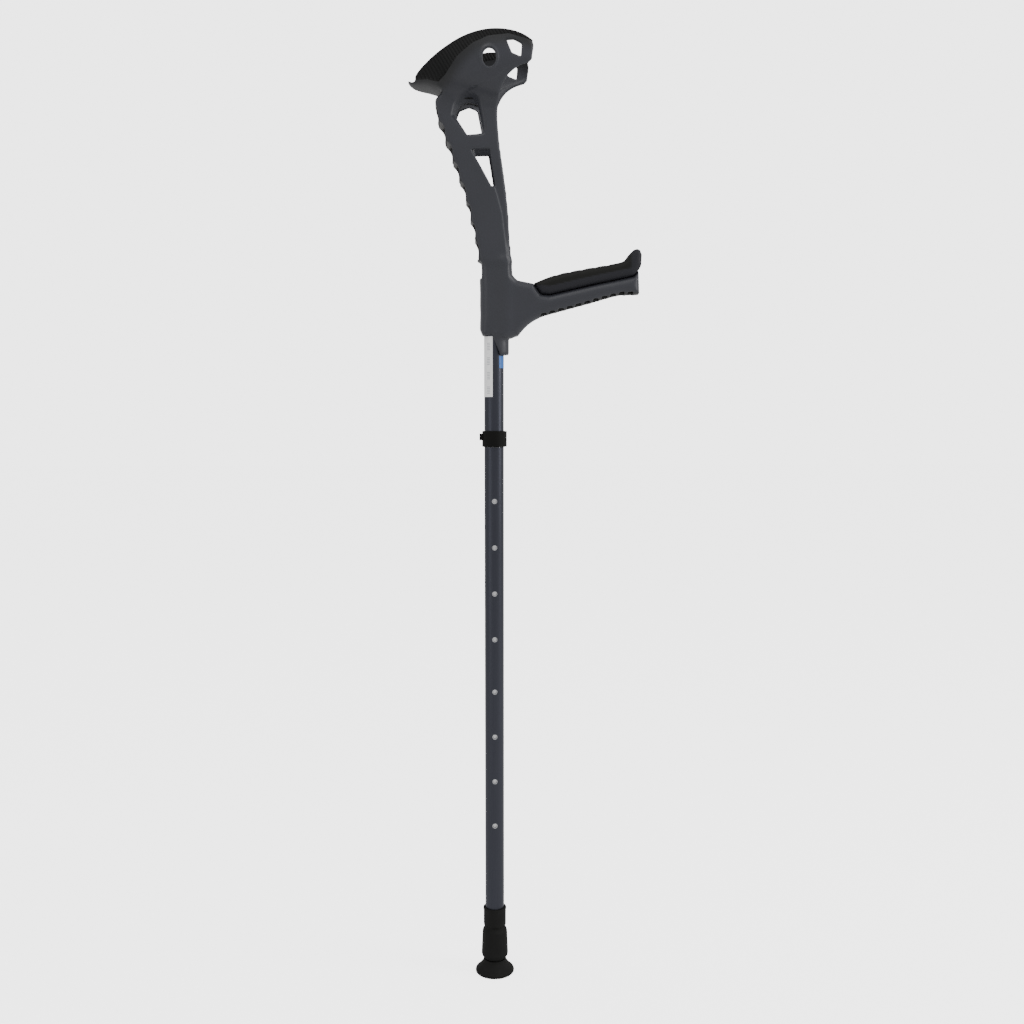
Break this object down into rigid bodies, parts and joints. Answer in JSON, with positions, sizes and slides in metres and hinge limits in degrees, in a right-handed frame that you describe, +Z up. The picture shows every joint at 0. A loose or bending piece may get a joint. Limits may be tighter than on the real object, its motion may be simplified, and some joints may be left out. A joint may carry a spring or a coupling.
{
  "type": "forearm crutch",
  "caption": "Forearm crutch: moulded handle with open arm cuff and hand grip, height-adjustable aluminium tube with snap buttons and collar clip, swivelling rubber foot.",
  "frame": {"origin": "middle of the foot's contact face, on the tube's axis", "axes": "+Z up the tube, +X along the hand grip, Y across the cuff"},
  "size_m": [0.2591, 0.0902, 1.0621],
  "materials": {
    "handle_plastic": "satin moulded dark grey",
    "cuff_rubber": "matt, finely ribbed",
    "grip_rubber": "matt soft-touch",
    "tube_aluminium": "dark anodised",
    "inner_plastic": "natural nylon",
    "clip_plastic": "satin black",
    "steel": "zinc plated",
    "label_white": "laminated sticker",
    "label_blue": "laminated sticker",
    "foot_rubber": "matt black"
  },
  "bodies": {
    "lower": {"lower_tube": "tube_aluminium", "mouth_sleeve": "inner_plastic", "ferrule_sleeve": "foot_rubber", "thrust_washer": "steel", "socket_cup": "inner_plastic", "cup_ring": "inner_plastic"},
    "handle": {"handle_frame": "handle_plastic", "cuff_pad": "cuff_rubber", "grip_pad": "grip_rubber", "upper_tube": "tube_aluminium", "tube_cap": "inner_plastic", "socket_pin": "steel", "label_white": "label_white", "label_blue": "label_blue", "clip_shell": "clip_plastic", "clip_pin": "steel", "upper_button_spring": "steel", "lower_button_spring": "steel", "end_bush": "inner_plastic"},
    "clip_door": {"clip_door": "clip_plastic"},
    "upper_button": {"upper_button": "steel"},
    "lower_button": {"lower_button": "steel"},
    "foot_link": {"ball_seat": "inner_plastic"},
    "foot": {"foot_disc": "foot_rubber", "foot_core": "inner_plastic", "ball_stud": "steel"}
  },
  "joints": [
    {"name": "height_adjust", "type": "slide", "parent": "lower", "child": "handle", "axis": [0, 0, 1], "range_m": [0, 0.1581], "deforming": ["upper_button", "lower_button"]},
    {"name": "upper_button_press", "type": "slide", "parent": "handle", "child": "upper_button", "axis": [0, -1, 0], "range_m": [0, 0.0035], "stiffness_N_per_m": 1200, "springref_m": -0.001, "deforming": ["upper_button_spring"]},
    {"name": "lower_button_press", "type": "slide", "parent": "handle", "child": "lower_button", "axis": [0, -1, 0], "range_m": [0, 0.0035], "stiffness_N_per_m": 1200, "springref_m": -0.001, "deforming": ["lower_button_spring"]},
    {"name": "clip_open", "type": "hinge", "parent": "handle", "child": "clip_door", "pos_m": [0.0128, 0, 0.627], "axis": [0, 0, 1], "range_deg": [0, 100]},
    {"name": "foot_tilt_fore", "type": "hinge", "parent": "lower", "child": "foot_link", "pos_m": [0, 0, 0.03], "axis": [0, 1, 0], "range_deg": [-10, 10]},
    {"name": "foot_tilt_side", "type": "hinge", "parent": "foot_link", "child": "foot", "pos_m": [0, 0, 0.03], "axis": [1, 0, 0], "range_deg": [-10, 10]}
  ]
}
